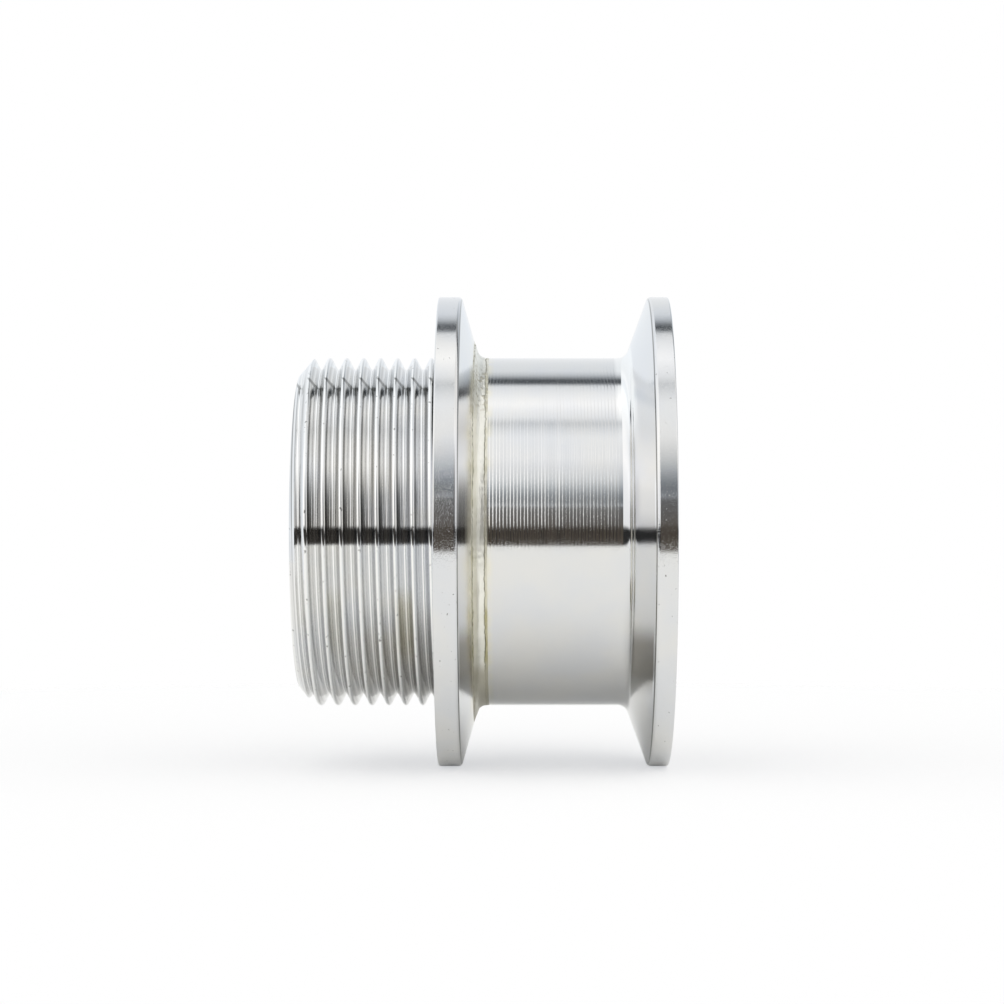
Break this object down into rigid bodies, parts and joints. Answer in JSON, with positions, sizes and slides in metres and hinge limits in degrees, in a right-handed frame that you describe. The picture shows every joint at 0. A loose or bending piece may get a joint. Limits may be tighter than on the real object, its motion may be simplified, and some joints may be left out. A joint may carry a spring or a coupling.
{
  "type": "sanitary clamp threaded adapter",
  "caption": "Stainless steel pipe adapter: a clamp ferrule with a grooved sealing face, welded to a flanged male parallel pipe thread, with an open bore through both.",
  "frame": {"origin": "centre of the clamp face, on the bore axis, which is the lowest plane of the part as it stands on that face", "axes": "+Z along the bore axis, from the clamp face towards the threaded end; +X is the radius at which the thread's groove starts, 2.4 mm below the shoulder; +Y completes the right-handed set"},
  "size_m": [0.064, 0.064, 0.05],
  "materials": {
    "stainless_steel": "turned and polished stainless steel",
    "weld_metal": "straw heat tint on an unground weld"
  },
  "bodies": {
    "root": {"clamp_ferrule": "stainless_steel", "threaded_flange": "stainless_steel", "weld_bead": "weld_metal"}
  },
  "joints": []
}
